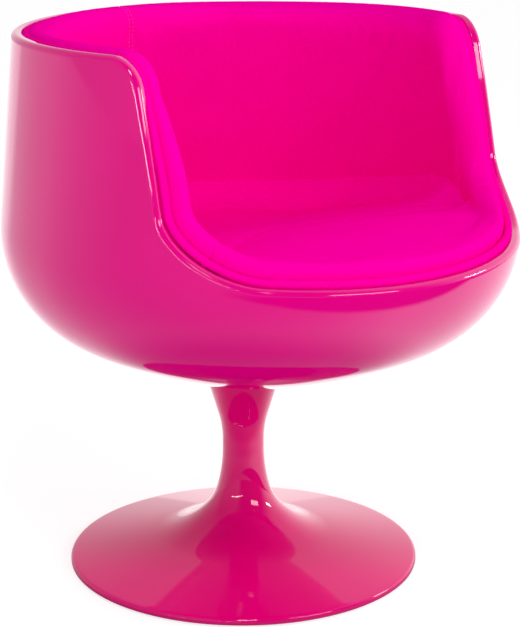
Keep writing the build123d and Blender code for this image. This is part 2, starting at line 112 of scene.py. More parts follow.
def meridian(length):
    """Radius, height and outward normal at a distance along the outside."""
    s = np.asarray(length, float)
    t1 = np.degrees(s / bowl_radius)
    t2 = bowl_angle + np.degrees((s - dish_length) / flank_radius)
    rest = s - dish_length - flank_length
    t = np.where(s < dish_length, t1, np.where(rest < 0, t2, flank_angle))
    r1, z1 = bowl_radius * sind(t1), shell_bottom + bowl_radius * (1 - cosd(t1))
    r2, z2 = flank_r + flank_radius * sind(t2), flank_z - flank_radius * cosd(t2)
    r3, z3 = turn_r - rest * sind(wall_lean), turn_z + rest * cosd(wall_lean)
    r = np.where(s < dish_length, r1, np.where(rest < 0, r2, r3))
    z = np.where(s < dish_length, z1, np.where(rest < 0, z2, z3))
    return r, z, sind(t), -cosd(t)


def surface(angle, length, depth=0.0):
    """Point and normal on the tub, moved inwards by depth; angle in degrees from the front."""
    r, z, nr, nz = meridian(length)
    normal = np.stack([nr * sind(angle), -nr * cosd(angle), nz + 0 * nr], -1)
    point = np.stack([r * sind(angle), -r * cosd(angle) - setback, z], -1)
    return point - np.asarray(depth)[..., None] * normal, normal


print("widest radius", round(float(flank_r + flank_radius), 1), "mm")

# %% [markdown]
# ## The rim
# Seen from the front, the opening is a U: a gently rising front edge, a round corner under each arm and a
# straight side. Behind the arms the rim is level. The same line is used for the rolled lip, the welts and
# the edges of the pads, each a few millimetres inside the last, so it is kept as points with a
# direction in which to move them.

# %% Points of the rim, once round from the back
opening_half_width = 284.0
lip_height, lip_sweep = 446.0, 3000.0
opening_corner, arm_corner = 76.0, 34.0
corner_hold = 0.55          # handles of the arm corner, near those of a circle
front_points, corner_points, side_points, arm_points, back_points = 40, 24, 34, 14, 100


def arm_run():
    """The rim from the front centre to the top of one arm: angle from the front and height."""
    a1 = math.degrees(math.asin((opening_half_width - opening_corner) / (lip_sweep - opening_corner)))
    centre_x = (lip_sweep - opening_corner) * sind(a1)
    centre_z = lip_height + lip_sweep - (lip_sweep - opening_corner) * cosd(a1)
    t = a1 * np.arange(front_points) / front_points
    x, z = lip_sweep * sind(t), lip_height + lip_sweep * (1 - cosd(t))
    t = a1 + (90 - a1) * np.arange(corner_points) / corner_points
    x = np.append(x, centre_x + opening_corner * sind(t))
    z = np.append(z, centre_z - opening_corner * cosd(t))
    z_top = height - arm_corner
    x = np.append(x, np.full(side_points, opening_half_width))
    z = np.append(z, np.linspace(centre_z, z_top, side_points))
    angle = np.degrees(np.arcsin(x / wall_radius(z)))
    r = float(wall_radius(z_top))
    s0 = math.radians(angle[-1]) * r
    slope = (s0 - math.radians(angle[-2]) * r) / (z[-1] - z[-2])
    corner = s0 + slope * arm_corner
    end = corner + arm_corner
    t = np.arange(1, arm_points + 1) / arm_points
    weights = np.stack([(1 - t) ** 3, 3 * t * (1 - t) ** 2, 3 * t * t * (1 - t), t ** 3], -1)
    s = weights @ np.array([s0, s0 + corner_hold * (corner - s0), end + corner_hold * (corner - end), end])
    zc = weights @ np.array([z_top, z_top + corner_hold * arm_corner, height, height])
    return np.append(angle, np.degrees(s / r)), np.append(z, zc)


def closed_rim():
    """Angle, height and the unit direction into the wall, once round from behind."""
    angle, z = arm_run()
    back = np.linspace(angle[-1], 180.0, back_points)[1:]
    half_a = np.append(angle, back)
    half_z = np.append(z, np.full(len(back), height))
    a = np.concatenate([-half_a[::-1], half_a[1:]])[:-1]
    z = np.concatenate([half_z[::-1], half_z[1:]])[:-1]
    r = wall_radius(z)
    da = np.roll(a, -1) - np.roll(a, 1)
    da = np.where(da < -180, da + 360, da)
    ds, dz = np.radians(da) * r, np.roll(z, -1) - np.roll(z, 1)
    n = np.hypot(ds, dz)
    return a, z, dz / n, -ds / n


rim_angle, rim_z, rim_into_s, rim_into_z = closed_rim()
print("rim points", len(rim_angle), "front edge", round(float(rim_z.min()), 1), "mm high")

# %% The rim moved into the wall


def rim_at(drop):
    """Angle and distance along the outside of the rim moved into the wall by drop."""
    angle = rim_angle + np.degrees(drop * rim_into_s / wall_radius(rim_z))
    return angle, length_at(rim_z + drop * rim_into_z)


def rim_point(drop, depth):
    """Points of the rim moved into the wall by drop and inwards by depth."""
    angle, length = rim_at(drop)
    return surface(angle, length, np.full(len(angle), float(depth)))[0]


def rim_outward():
    """Unit vectors that point out of the wall across the rim."""
    out = rim_point(0.0, 0.0) - rim_point(1.0, 0.0)
    return out / np.linalg.norm(out, axis=1)[:, None]


rim_steps = np.linalg.norm(np.diff(rim_point(0.0, 0.0), axis=0), axis=1)
print("rim steps from", round(float(rim_steps.min()), 1), "to", round(float(rim_steps.max()), 1), "mm")

# %% [markdown]
# ## Helpers for meshes
# Most pieces here are rows of points, row after row round the tub, so one function joins rows into a skin,
# one closes its ends and another makes the object. A finished piece sits at the origin and keeps its place
# in its mesh.

# %% Mesh helpers


def make_piece(name, points, faces, normals=None):
    """A smooth mesh object from points in millimetres."""
    mesh = bpy.data.meshes.new(name)
    mesh.from_pydata((np.asarray(points) * MM).tolist(), [], faces)
    mesh.update()
    mesh.shade_smooth()
    if normals is not None:
        mesh.normals_split_custom_set_from_vertices(np.asarray(normals).tolist())
    piece = bpy.data.objects.new(name, mesh)
    scene.collection.objects.link(piece)
    return piece


def row_faces(rows, columns, closed_columns=True, closed_rows=False):
    """Quads between rows of points; rows run upwards on the outside, columns to the right."""
    faces = []
    last_row = rows if closed_rows else rows - 1
    last_column = columns if closed_columns else columns - 1
    for k in range(last_row):
        low, high = k * columns, ((k + 1) % rows) * columns
        for i in range(last_column):
            j = (i + 1) % columns
            faces.append((low + i, low + j, high + j, high + i))
    return faces


def pole_faces(rows, columns):
    """Triangles from the first and the last row to two poles, which follow the rows as points."""
    first_pole, last_pole = rows * columns, rows * columns + 1
    last = (rows - 1) * columns
    faces = []
    for i in range(columns):
        j = (i + 1) % columns
        faces += [(first_pole, j, i), (last_pole, last + i, last + j)]
    return faces


print("3 rows of 4 points make", len(row_faces(3, 4)), "quads and", len(pole_faces(3, 4)), "triangles")

# %% [markdown]
# ## The shell
# A real shell is laid up in a mould, trimmed at the rim and rolled over at the edge. A boolean cut and a
# bevel would leave uneven quads that show in the gloss, so the skin is made of rows instead: up the
# outside to the rim, over the rolled lip and down the inside, with the normals taken from the formula.
# Where the laminate turns over, the lip is thicker than the wall; the welt lies against it.

# %% Build the shell
lip_round, lip_width = 7.5, 13.6
lip_inner, lip_depth = 2.0, 10.5
lip_ease = 1.5              # height over which the inside of the lip runs back to the wall
outside_steps, round_steps, inner_steps, inside_steps = 83, 8, 4, 29


def shell_rows():
    """Rows of points and normals, up the outside, over the lip and down the inside."""
    rows, normals = [], []
    angle, top = rim_at(lip_round)
    for t in np.linspace(0, 1, outside_steps + 1)[1:]:
        p, n = surface(angle, top * t, np.zeros(len(angle)))
        rows.append(p)
        normals.append(n)
    out = rim_outward()
    wall_normal = normals[-1]
    for t in np.linspace(0, 90, round_steps + 1)[1:]:
        rows.append(rim_point(lip_round * (1 - sind(t)), lip_round * (1 - cosd(t))))
        normals.append(cosd(t) * wall_normal + sind(t) * out)
    for t in np.linspace(0, 90, inner_steps + 1):
        rows.append(rim_point(lip_inner * (1 - cosd(t)), lip_width - lip_inner * (1 - sind(t))))
        normals.append(cosd(t) * out - sind(t) * wall_normal)
    rows.append(rim_point(lip_depth - lip_ease, lip_width))
    normals.append(-wall_normal)
    angle, top = rim_at(lip_depth)
    for t in np.linspace(1, 0, inside_steps + 1)[:-1]:
        p, n = surface(angle, top * t, np.full(len(angle), shell_wall))
        rows.append(p)
        normals.append(-n)
    return rows, normals


def build_shell():
    rows, normals = shell_rows()
    columns = len(rim_angle)
    faces = row_faces(len(rows), columns) + pole_faces(len(rows), columns)
    points = np.concatenate(rows + [[[0, -setback, shell_bottom], [0, -setback, shell_bottom + shell_wall]]])
    vectors = np.concatenate(normals + [[[0, 0, -1.0], [0, 0, 1.0]]])
    vectors /= np.linalg.norm(vectors, axis=1)[:, None]
    return make_piece("tub_shell", points, faces, vectors)


shell = build_shell()
print("shell", len(shell.data.vertices), "points")

# %% [markdown]
# ## The boss and the pedestal
# Both are turned. The pedestal is one casting: a cup under the tub, a narrow waist and a flare that runs out
# into a thin foot. Its section is a chain of tangent arcs, so the gloss flows over it without a kink, and
# a lathe function spins the section round the swivel axis.

# %% The section of the pedestal
waist_radius, waist_bottom, waist_top = 27.2, 152.0, 164.0
neck_curve, neck_angle = 200.0, 15.0
flare_curve, flare_angle = 70.0, 45.0
dish_curve, foot_slope = 129.0, 12.2
cup_curve, cup_angle, cup_top = 120.0, 17.0, 256.0
base_radius, base_edge, foot_bottom = 227.5, 5.0, 2.5
pedestal_wall, edge_break = 4.0, 0.8
neck_points, flare_points, dish_points, foot_points = 22, 20, 40, 30
waist_points, cup_points, cup_wall_points = 5, 16, 18
edge_points, break_points = 9, 5


def pedestal_side(d, reach):
    """The section from the edge of the foot up to the cup, moved inwards by d."""
    points = []
    r, z = waist_radius, waist_bottom
    chain = [(neck_curve, 0.0, neck_angle, neck_points),
             (flare_curve, neck_angle, flare_angle, flare_points),
             (dish_curve, flare_angle, 90 - foot_slope, dish_points)]
    for curve, t0, t1, count in chain:
        cx, cz = r + curve * cosd(t0), z + curve * sind(t0)
        t = np.linspace(t0, t1, count)[1:]
        points += list(zip(cx - (curve + d) * cosd(t), cz - (curve + d) * sind(t)))
        r, z = cx - curve * cosd(t1), cz - curve * sind(t1)
    last_r, last_z = points[-1]
    for s in np.linspace(last_r, reach, foot_points)[1:]:
        points.append((s, last_z - (s - last_r) * math.tan(math.radians(foot_slope))))
    points.reverse()
    points += [(waist_radius - d, zz) for zz in np.linspace(waist_bottom, waist_top, waist_points)]
    t = np.linspace(0, cup_angle, cup_points)[1:]
    centre = waist_radius + cup_curve
    points += list(zip(centre - (cup_curve + d) * cosd(t), waist_top + (cup_curve + d) * sind(t)))
    last_r, last_z = points[-1]
    for zz in np.linspace(last_z, cup_top - edge_break, cup_wall_points)[1:]:
        points.append((last_r + (zz - last_z) * math.tan(math.radians(cup_angle)), zz))
    return points


def rounded(centre, radius, t0, t1, count):
    """Points of an arc in a section, from its centre, radius and angles."""
    t = np.linspace(t0, t1, count)
    return list(zip(centre[0] + radius * cosd(t), centre[1] + radius * sind(t)))


def pedestal_section():
    outside = pedestal_side(0.0, base_radius - base_edge)
    inside = pedestal_side(pedestal_wall, base_radius - 2 * pedestal_wall)
    foot_r, foot_z = outside[0]
    bead = (foot_r, foot_z - base_edge / cosd(foot_slope))
    edge = rounded(bead, base_edge, 0, 90 - foot_slope, edge_points)
    low = rounded((base_radius - edge_break, foot_bottom + edge_break), edge_break, -90, 0, break_points)
    return low + edge + outside[1:] + inside[::-1] + [(base_radius - 2 * pedestal_wall, foot_bottom)]


print("pedestal section", len(pedestal_section()), "points")

# %% Lathe the pedestal and the boss
boss_radius, boss_bottom, boss_edge, boss_sink = 44.0, 260.0, 1.5, 6.0
boss_edge_points = 6
axis_gap = 0.02             # the section stops just short of the axis, so no face shrinks to nothing


def lathe(name, section, segments=192):
    """Spin a closed section of radius and height; it runs up the outside and down the inside."""
    a = np.arange(segments) * 360.0 / segments
    rows = [np.stack([r * sind(a), -r * cosd(a), np.full(segments, z)], -1) for r, z in section]
    return make_piece(name, np.concatenate(rows), row_faces(len(rows), segments, closed_rows=True))


pedestal = lathe("trumpet_pedestal", pedestal_section())
boss_top = shell_bottom + boss_sink
boss_centre = (boss_radius - boss_edge, boss_bottom + boss_edge)
boss_section = [(axis_gap, boss_bottom)] + rounded(boss_centre, boss_edge, -90, 0, boss_edge_points)
boss_section += [(boss_radius, boss_top), (axis_gap, boss_top)]
boss = lathe("shell_boss", boss_section, segments=96)
print("pedestal", len(pedestal.data.vertices), "points, boss", len(boss.data.vertices))

# %% [markdown]
# ## The padded roll
# Inside the lip a welt runs all round, and behind it a padded roll stands out of the rim: a little at the
# back, more down the arms and most at the front, where it becomes the front edge of the seat. At the front
# it belongs to the seat cushion, elsewhere to two pads that meet at the middle of the back. So
# one section, measured down from the rim and in from the outside of the tub, serves all three.

# %% Sizes of the roll and layers of the tub
pad_back, welt_face, pad_face = 10.6, 21.6, 55.6
border_round, crown_round, welt_step = 7.0, 25.0, 11.4
proud_back, proud_front, proud_run = 4.0, 26.0, 150.0
seat_under = 402.0
seam_inset = 20.5
seam_overlap = 0.5          # degrees by which sewn edges run past each other, out of sight
hidden_steps, border_steps, edge_steps, crown_steps = 12, 9, 8, 10


def smooth_step(t):
    """0 to 1 with level ends."""
    t = np.clip(t, 0.0, 1.0)
    return t * t * (3 - 2 * t)


def lean_radius(z, d):
    """Radius of the leaning wall at a depth, carried straight on downwards."""
    rad = flank_radius - d
    z_turn = flank_z - rad * cosd(flank_angle)
    return flank_r + rad * sind(flank_angle) - (z - z_turn) * math.tan(math.radians(wall_lean))


def layer_radius(z, d):
    """Radius of flank and wall at a depth."""
    rad = flank_radius - d
    on_flank = flank_r + np.sqrt(np.maximum(rad ** 2 - (z - flank_z) ** 2, 0.0))
    return np.where(z < flank_z - rad * cosd(flank_angle), on_flank, lean_radius(z, d))


def ring(angle, r, z):
    """Points round the tub axis at angles from the front."""
    angle, r, z = np.broadcast_arrays(angle, r, z)
    return np.stack([r * sind(angle), -r * cosd(angle) - setback, z], -1)


print("face of the back at the top", round(float(layer_radius(height, pad_face)), 1), "mm from the axis")

# %% The section of the roll along a stretch of the rim


def proud(z):
    """How far the roll stands out of the rim where the rim is at a height."""
    return proud_back + (proud_front - proud_back) * smooth_step((height - z) / proud_run)


def rim_index(angle):
    """Place along the rim, as a fraction of points, where it passes an angle."""
    angles = np.append(rim_angle, 180.0)
    return float(np.interp(angle, angles, np.arange(len(angles))))


class Slice:
    """A stretch of the rim between two places, with its own points."""

    def __init__(self, places):
        index = np.arange(len(rim_angle) + 1)
        wrap = np.append(np.arange(len(rim_angle)), 0)
        self.angle = np.interp(places, index, np.append(rim_angle, 180.0))
        self.z = np.interp(places, index, rim_z[wrap])
        into_s, into_z = (np.interp(places, index, v[wrap]) for v in (rim_into_s, rim_into_z))
        size = np.hypot(into_s, into_z)
        self.into_s, self.into_z = into_s / size, into_z / size
        self.proud = proud(self.z)

    def at(self, drop):
        """Angle and height of the rim moved into the wall by drop."""
        angle = self.angle + np.degrees(drop * self.into_s / wall_radius(self.z))
        return angle, self.z + drop * self.into_z

    def point(self, drop, depth):
        """Points of the rim moved into the wall by drop and inwards by depth."""
        angle, z = self.at(drop)
        return ring(angle, layer_radius(z, depth), z)

    def outside_rows(self):
        """The hidden back, the step for the welt and the border above it."""
        angle, top = self.at(welt_step)
        rows = []
        for t in np.linspace(0, 1, hidden_steps):
            z = seat_under + (top - seat_under) * t
            rows.append(ring(angle, layer_radius(z, pad_back), z))
        for t in np.linspace(0, 1, border_steps):
            rows.append(self.point(welt_step + (border_round - self.proud - welt_step) * t, welt_face))
        return rows

    def crown_rows(self):
        """Over the top: the round of the border and the larger round of the inner edge."""
        rows = []
        for t in np.linspace(0, 90, edge_steps)[1:]:
            rows.append(self.point(border_round * (1 - sind(t)) - self.proud,
                                   welt_face + border_round * (1 - cosd(t))))
        for t in np.linspace(0, 90, crown_steps):
            rows.append(self.point(crown_round * (1 - cosd(t)) - self.proud,
                                   pad_face - crown_round * (1 - sind(t))))
        return rows


seam_angle = math.degrees(math.asin((opening_half_width - seam_inset) / float(wall_radius(lip_height))))
print("side seams at", round(seam_angle, 1), "degrees from the front")

# %% [markdown]
# ## The back and arm pads
# Each pad is foam under felted wool, drawn over the edge and glued behind the welt. It is first drawn as a
# closed skin: up the hidden back, over the roll and down the face you lean on.

# %% Draw one pad as a closed skin
face_steps = 44
overlap_run = 10.0          # degrees over which the pad stretches to its overlap at the back seam


def pad_skin(name):
    """The right pad, from its front seam to the middle of the back."""
    first, last = rim_index(seam_angle - seam_overlap), len(rim_angle)
    part = Slice(np.linspace(first, last, int(last - first) * 2))
    part.angle += seam_overlap * smooth_step((part.angle - 180 + overlap_run) / overlap_run)
    rows = part.outside_rows() + part.crown_rows()
    angle, top = part.at(crown_round - part.proud)
    for t in np.linspace(1, 0, face_steps)[1:]:
        z = seat_under + (top - seat_under) * t
        rows.append(ring(angle, lean_radius(z, pad_face), z))
    columns = len(part.angle)
    faces = row_faces(len(rows), columns, closed_columns=False, closed_rows=True)
    faces.append(tuple(k * columns for k in range(len(rows))))
    faces.append(tuple(k * columns + columns - 1 for k in reversed(range(len(rows)))))
    return make_piece(name, np.concatenate(rows), faces)


pad_right = pad_skin("arm_and_back_pad_right")
print("pad drawn with", len(pad_right.data.polygons), "faces")

# %% [markdown]
# ## The seat
# The seat is one thick cushion, fixed in the tub. Its front edge is the roll; behind it the top is level and
# then falls towards the back, as a lounge seat does. At the sides and back it turns up into
# the pads, so no gap shows in the hollow. It is drawn as a closed skin whose columns follow the rim at the
# front and the tub axis behind.

# %% The top of the seat and its front edge
seat_top, seat_dip, seat_dip_run = 469.4, 48.0, 380.0
lift_soft = 3.0             # roundness of the line where the roll runs out into the top
lift_from = 9               # rows of the roll before this one keep their height


def seat_level(points):
    """Height of the seat under points, which falls from front to back."""
    y = points[:, 1] + setback
    return seat_top - seat_dip * smooth_step(y / seat_dip_run + 0.5)


def lift(points):
    """Raise points to the seat where they lie below it, with a soft transition."""
    low, level = points[:, 2], seat_level(points)
    raised = points.copy()
    raised[:, 2] = 0.5 * (low + level + np.sqrt((low - level) ** 2 + lift_soft ** 2))
    return raised


def front_rows(part):
    """The roll at the front, whose inner edge runs out into the top."""
    outside, crown = part.outside_rows(), part.crown_rows()
    return outside, crown[:lift_from] + [lift(row) for row in crown[lift_from:]]


print("seat from", seat_top, "mm high in front to", seat_top - seat_dip, "mm behind")

# %% Draw the seat as a closed skin
seat_hollow, seat_tuck = 55.0, 3.0
hollow_least, hollow_run = 3.0, 14.0        # millimetres at a seam, degrees to the full hollow
front_columns, back_columns, top_rings = 220, 250, 42
settle_rate = 12            # the rings lie level after a twelfth of the way to the axis


def side_rows(angle, limit, count_side, count_edge):
    """Under the pads the seat turns up into them in a hollow, which dies out at the seams."""
    depth = pad_face - seat_tuck
    from_seam = np.minimum(angle - limit, 360 - limit - angle)
    hollow = hollow_least + (seat_hollow - hollow_least) * smooth_step(from_seam / hollow_run)
    top = seat_level(ring(angle, lean_radius(seat_top, depth), seat_top))
    high = top + hollow
    side = []
    for t in np.linspace(0, 1, count_side):
        z = seat_under + (high - seat_under) * t
        side.append(ring(angle, lean_radius(z, depth), z))
    turn = []
    for t in np.linspace(0, 90, count_edge + 1)[1:]:
        turn.append(ring(angle, lean_radius(high, depth) - hollow * (1 - cosd(t)), high - hollow * sind(t)))
    return side, turn


def build_seat():
    limit = seam_angle + seam_overlap
    part = Slice(np.linspace(rim_index(-limit), rim_index(limit), front_columns))
    angle = np.linspace(limit, 360 - limit, back_columns)[1:-1]
    side, crown = front_rows(part)
    back_side, back_edge = side_rows(angle, limit, len(side), len(crown))
    rows = [np.concatenate(pair) for pair in zip(side + crown, back_side + back_edge)]
    start = rows[-1]
    axis = np.array([0.0, -setback, 0.0])
    for t in np.linspace(1, 0, top_rings)[1:-1]:
        row = axis + (start - axis) * t
        settled = max(0.0, 1 - settle_rate * (1 - t))
        row[:, 2] = seat_level(row) + (start[:, 2] - seat_level(start)) * settled
        rows.append(row)
    columns = len(start)
    faces = row_faces(len(rows), columns) + pole_faces(len(rows), columns)
    top_z = float(seat_level(axis[None])[0])
    points = np.concatenate(rows + [[[0, -setback, seat_under], [0, -setback, top_z]]])
    return make_piece("seat_cushion_skin", points, faces)


seat = build_seat()
print("seat drawn with", len(seat.data.polygons), "faces")

# %% [markdown]
# ## Padding with air
# A drawn skin is evened out with a voxel remesh, laid back on the drawing and run as cloth under pressure
# without gravity. Felt over moulded foam is taut, so the swelling is capped at a few millimetres
# and the hidden and glued parts are pinned. The left pad is the right one mirrored.

# %% An even skin on the drawing


def vertex_array(mesh):
    """The points of a mesh, in metres."""
    points = np.empty(len(mesh.vertices) * 3)
    mesh.vertices.foreach_get("co", points)
    return points.reshape(-1, 3)


def apply_modifiers(piece):
    """Replace the mesh of a piece by its evaluated mesh."""
    graph = bpy.context.evaluated_depsgraph_get()
    mesh = bpy.data.meshes.new_from_object(piece.evaluated_get(graph))
    piece.modifiers.clear()
    piece.data = mesh


def even_skin(piece, voxel):
    """Voxel remesh of a drawn skin, laid back on the drawing."""
    drawing = piece.copy()
    drawing.data = piece.data.copy()
    scene.collection.objects.link(drawing)
    remesh = piece.modifiers.new("even", "REMESH")
    remesh.mode = "VOXEL"
    remesh.voxel_size = voxel * MM
    wrap = piece.modifiers.new("lay back", "SHRINKWRAP")
    wrap.target = drawing
    wrap.wrap_method = "NEAREST_SURFACEPOINT"
    apply_modifiers(piece)
    bpy.data.objects.remove(drawing)


for piece, voxel in ((pad_right, 5.0), (seat, 5.8)):
    even_skin(piece, voxel)
    print(piece.name, "evened out to", len(piece.data.vertices), "points")

# %% What is glued and what is free
glue_depth, glue_fade = 25.0, 4.0           # millimetres below the outside of the tub
foot_height, foot_fade = 430.0, 20.0        # the pads are held below this height
edge_drop, edge_fade = 14.0, 8.0            # the seat is held from this far below its top
back_seam_fade, front_seam_fade = 3.0, 2.0  # degrees from a seam


def depth_of(points):
    """Depth of points below the outside of the tub, in millimetres, on flank and wall."""
    r = np.hypot(points[:, 0], points[:, 1] + setback)
    return wall_radius(points[:, 2]) - r


def angle_of(points):
    """Angle of points from the front, to either side."""
    return np.degrees(np.arctan2(np.abs(points[:, 0]), -(points[:, 1] + setback)))


def pad_pins(points):
    """Glued back, foot and seams of a pad stay; the roll and the face are free."""
    near_seam = np.clip(1 - (180 - angle_of(points)) / back_seam_fade, 0, 1)
    near_front = np.clip(1 - (angle_of(points) - seam_angle) / front_seam_fade, 0, 1)
    glued = np.clip((glue_depth - depth_of(points)) / glue_fade, 0, 1)
    foot = np.clip((foot_height - points[:, 2]) / foot_fade, 0, 1)
    return np.max([glued, foot, near_seam, near_front], axis=0)


def seat_pins(points):
    """The glued front, the sides and the underside stay; the top is free."""
    near_front = np.clip(1 - np.abs(angle_of(points) - seam_angle) / front_seam_fade, 0, 1)
    glued = np.clip((glue_depth - depth_of(points)) / glue_fade, 0, 1)
    foot = np.clip((seat_level(points) - edge_drop - points[:, 2]) / edge_fade, 0, 1)
    return np.max([glued, foot, near_front], axis=0)


for piece, pins in ((pad_right, pad_pins), (seat, seat_pins)):
    print(piece.name, "pinned in", int((pins(vertex_array(piece.data) / MM) == 1).sum()), "points")

# %% A cloth run for upholstery
cloth_frames, cloth_quality = 14, 5
swell_cap = 3.0             # how far a point may move, in millimetres
still = 1e-9                # metres; a point that moves less has not moved


def swell(piece, pinned, pressure, cap):
    """Run the piece as cloth under pressure; pinned gives 0 to 1 for points in millimetres."""
    start = vertex_array(piece.data)
    pins = piece.vertex_groups.new(name="pins")
    weight = np.round(pinned(start / MM), 1)
    for level in np.unique(weight):
        pins.add(np.flatnonzero(weight == level).tolist(), float(level), "REPLACE")
    cloth = piece.modifiers.new("felt", "CLOTH")
    cloth.settings.vertex_group_mass = "pins"
    cloth.settings.use_pressure = True
    cloth.settings.uniform_pressure_force = pressure
    cloth.settings.quality = cloth_quality
    cloth.settings.effector_weights.gravity = 0
    cloth.point_cache.frame_end = cloth_frames
    for step in range(1, cloth_frames + 1):
        scene.frame_set(step)
    apply_modifiers(piece)
    scene.frame_set(1)
    moved = vertex_array(piece.data) - start
    size = np.linalg.norm(moved, axis=1)
    limit = cap * MM
    keep = np.where(size > still, limit * np.tanh(size / limit) / np.maximum(size, still), 0.0)
    piece.data.vertices.foreach_set("co", (start + moved * keep[:, None]).ravel())
    piece.data.update()
    piece.vertex_groups.clear()
    return round(float(size.max() / MM), 1), round(float((size * keep).max() / MM), 1)


def refine(piece):
    """One subdivision, for a round skin."""
    finer = piece.modifiers.new("finer", "SUBSURF")
    finer.levels = finer.render_levels = 1
    apply_modifiers(piece)
    piece.data.shade_smooth()


for piece, pins, pressure in ((pad_right, pad_pins, 2.5), (seat, seat_pins, 2.0)):
    print(piece.name, "swelled by", swell(piece, pins, pressure, swell_cap), "mm, free and capped")
    refine(piece)

# %% The left pad
mirrored = pad_right.data.copy()
mirrored.transform(Matrix.Scale(-1, 4, (1, 0, 0)))
mirrored.flip_normals()
pad_left = bpy.data.objects.new("arm_and_back_pad_left", mirrored)
scene.collection.objects.link(pad_left)
print("each pad", len(pad_right.data.polygons), "faces, seat", len(seat.data.polygons))

# %% [markdown]
# ## Finishes
# The chair has two looks that matter: a sprayed gloss lacquer on shell and pedestal, and felted wool on all
# the upholstery. Inside are plywood, steel, brass, nylon and felt. Each is built from noise at the
# real size of its grain, so it holds up close and from far, and none is one flat colour. Colours are given
# as sRGB codes, the way a paint chart gives them, and turned into the linear values that shaders take.

# %% Colours and nodes


def colour(code):
    """The linear colour of an sRGB hex code."""
    channels = [int(code[i:i + 2], 16) / 255 for i in (1, 3, 5)]
    linear = [c / 12.92 if c <= 0.04045 else ((c + 0.055) / 1.055) ** 2.4 for c in channels]
    return (*linear, 1.0)


def add_node(tree, kind, inputs=None, **settings):
    """One node with its settings; inputs are values or sockets to link."""
    node = tree.nodes.new(kind)
    for key, value in settings.items():
        setattr(node, key, value)
    for key, value in (inputs or {}).items():
        if isinstance(value, bpy.types.NodeSocket):
            tree.links.new(value, node.inputs[key])
        else:
            node.inputs[key].default_value = value
    return node


def new_material(name):
    """An empty material, its tree and its object coordinates."""
    made = bpy.data.materials.new(name)
    made.use_nodes = True
    tree = made.node_tree
    tree.nodes.clear()
    return made, tree, add_node(tree, "ShaderNodeTexCoord").outputs["Object"]


print("the grey #808080 is", round(colour("#808080")[0], 3), "in linear light")

# %% [markdown]
# ### Gloss lacquer
# Sprayed lacquer is polished but keeps a very slight orange peel, a few millimetres wide, that makes
# reflections waver, and the depth of the pink drifts a little with the thickness of the coat.

# %% Lacquer


def lacquer(name, low, high):
    made, tree, where = new_material(name)
    coat = add_node(tree, "ShaderNodeTexNoise", {"Vector": where, "Scale": 1 / (90 * MM), "Detail": 2.0})
    tone = add_node(tree, "ShaderNodeMix", {0: coat.outputs[0], 6: colour(low), 7: colour(high)},
                    data_type="RGBA")
    peel = add_node(tree, "ShaderNodeTexNoise", {"Vector": where, "Scale": 1 / (4 * MM), "Detail": 1.0})
    skin = add_node(tree, "ShaderNodeBump",
                    {"Height": peel.outputs[0], "Strength": 0.02, "Distance": 0.2 * MM})
    haze = add_node(tree, "ShaderNodeMapRange", {0: coat.outputs[0], 1: 0.3, 2: 0.7, 3: 0.03, 4: 0.06})
    shader = add_node(tree, "ShaderNodeBsdfPrincipled",
                      {"Base Color": tone.outputs[2], "Roughness": haze.outputs[0], "IOR": 1.5,
                       "Normal": skin.outputs[0]})
    add_node(tree, "ShaderNodeOutputMaterial", {"Surface": shader.outputs[0]})
    return made


shell_lacquer = lacquer("Pink gloss lacquer on glass fibre", "#D40078", "#DE0080")
# the pedestal's copy of the lacquer is a little lighter than the shell's: painted light, for more brightness
# on the pedestal
pedestal_lacquer = lacquer("Pink gloss lacquer on cast aluminium", "#DE0072", "#E8007B")
print("lacquers made")

# %% [markdown]
# ### Felted wool
# Felt has no weave: short fibres lie every way and stand up a little, which gives a soft glow at grazing
# angles and no shine. The fibres are far too thin to show, so tufts of about two millimetres stand for them,
# and a broad cloud for the unevenness of the dye.

# %% Felted wool


def felted_wool(name, low, high):
    made, tree, where = new_material(name)
    tuft = add_node(tree, "ShaderNodeTexNoise",
                    {"Vector": where, "Scale": 1 / (2.2 * MM), "Detail": 4.0, "Roughness": 0.65})
    dye = add_node(tree, "ShaderNodeTexNoise", {"Vector": where, "Scale": 1 / (70 * MM), "Detail": 1.0})
    mixed = add_node(tree, "ShaderNodeMath", {0: dye.outputs[0], 1: 0.25, 2: tuft.outputs[0]},
                     operation="MULTIPLY_ADD")
    share = add_node(tree, "ShaderNodeMapRange", {0: mixed.outputs[0], 1: 0.4, 2: 0.85, 3: 0.0, 4: 1.0})
    tone = add_node(tree, "ShaderNodeMix", {0: share.outputs[0], 6: colour(low), 7: colour(high)},
                    data_type="RGBA")
    nap = add_node(tree, "ShaderNodeBump",
                   {"Height": tuft.outputs[0], "Strength": 0.4, "Distance": 0.7 * MM})
    shader = add_node(tree, "ShaderNodeBsdfPrincipled",
                      {"Base Color": tone.outputs[2], "Roughness": 0.95, "Specular IOR Level": 0.0,
                       "Sheen Weight": 0.12, "Sheen Roughness": 0.35, "Sheen Tint": colour("#FF0CB4"),
                       "Normal": nap.outputs[0]})
    add_node(tree, "ShaderNodeOutputMaterial", {"Surface": shader.outputs[0]})
    return made


wool = felted_wool("Felted pink wool", "#EC0096", "#F800A6")
welt_wool = felted_wool("Felted pink wool on cord", "#EA0092", "#F600A2")
thread = felted_wool("Pink sewing thread", "#F41CA8", "#FF48BE")
print("felts made")

# %% [markdown]
# ### The finishes inside
# Below the seat and in the column are ordinary trade finishes: birch plywood with its layers on edge,
# bright zinc, turned, ground and blued steel, black stove paint, brass, nylon and felt. They show when the
# chair is taken apart or tipped over, so each gets the grain of its making.

# %% Plywood


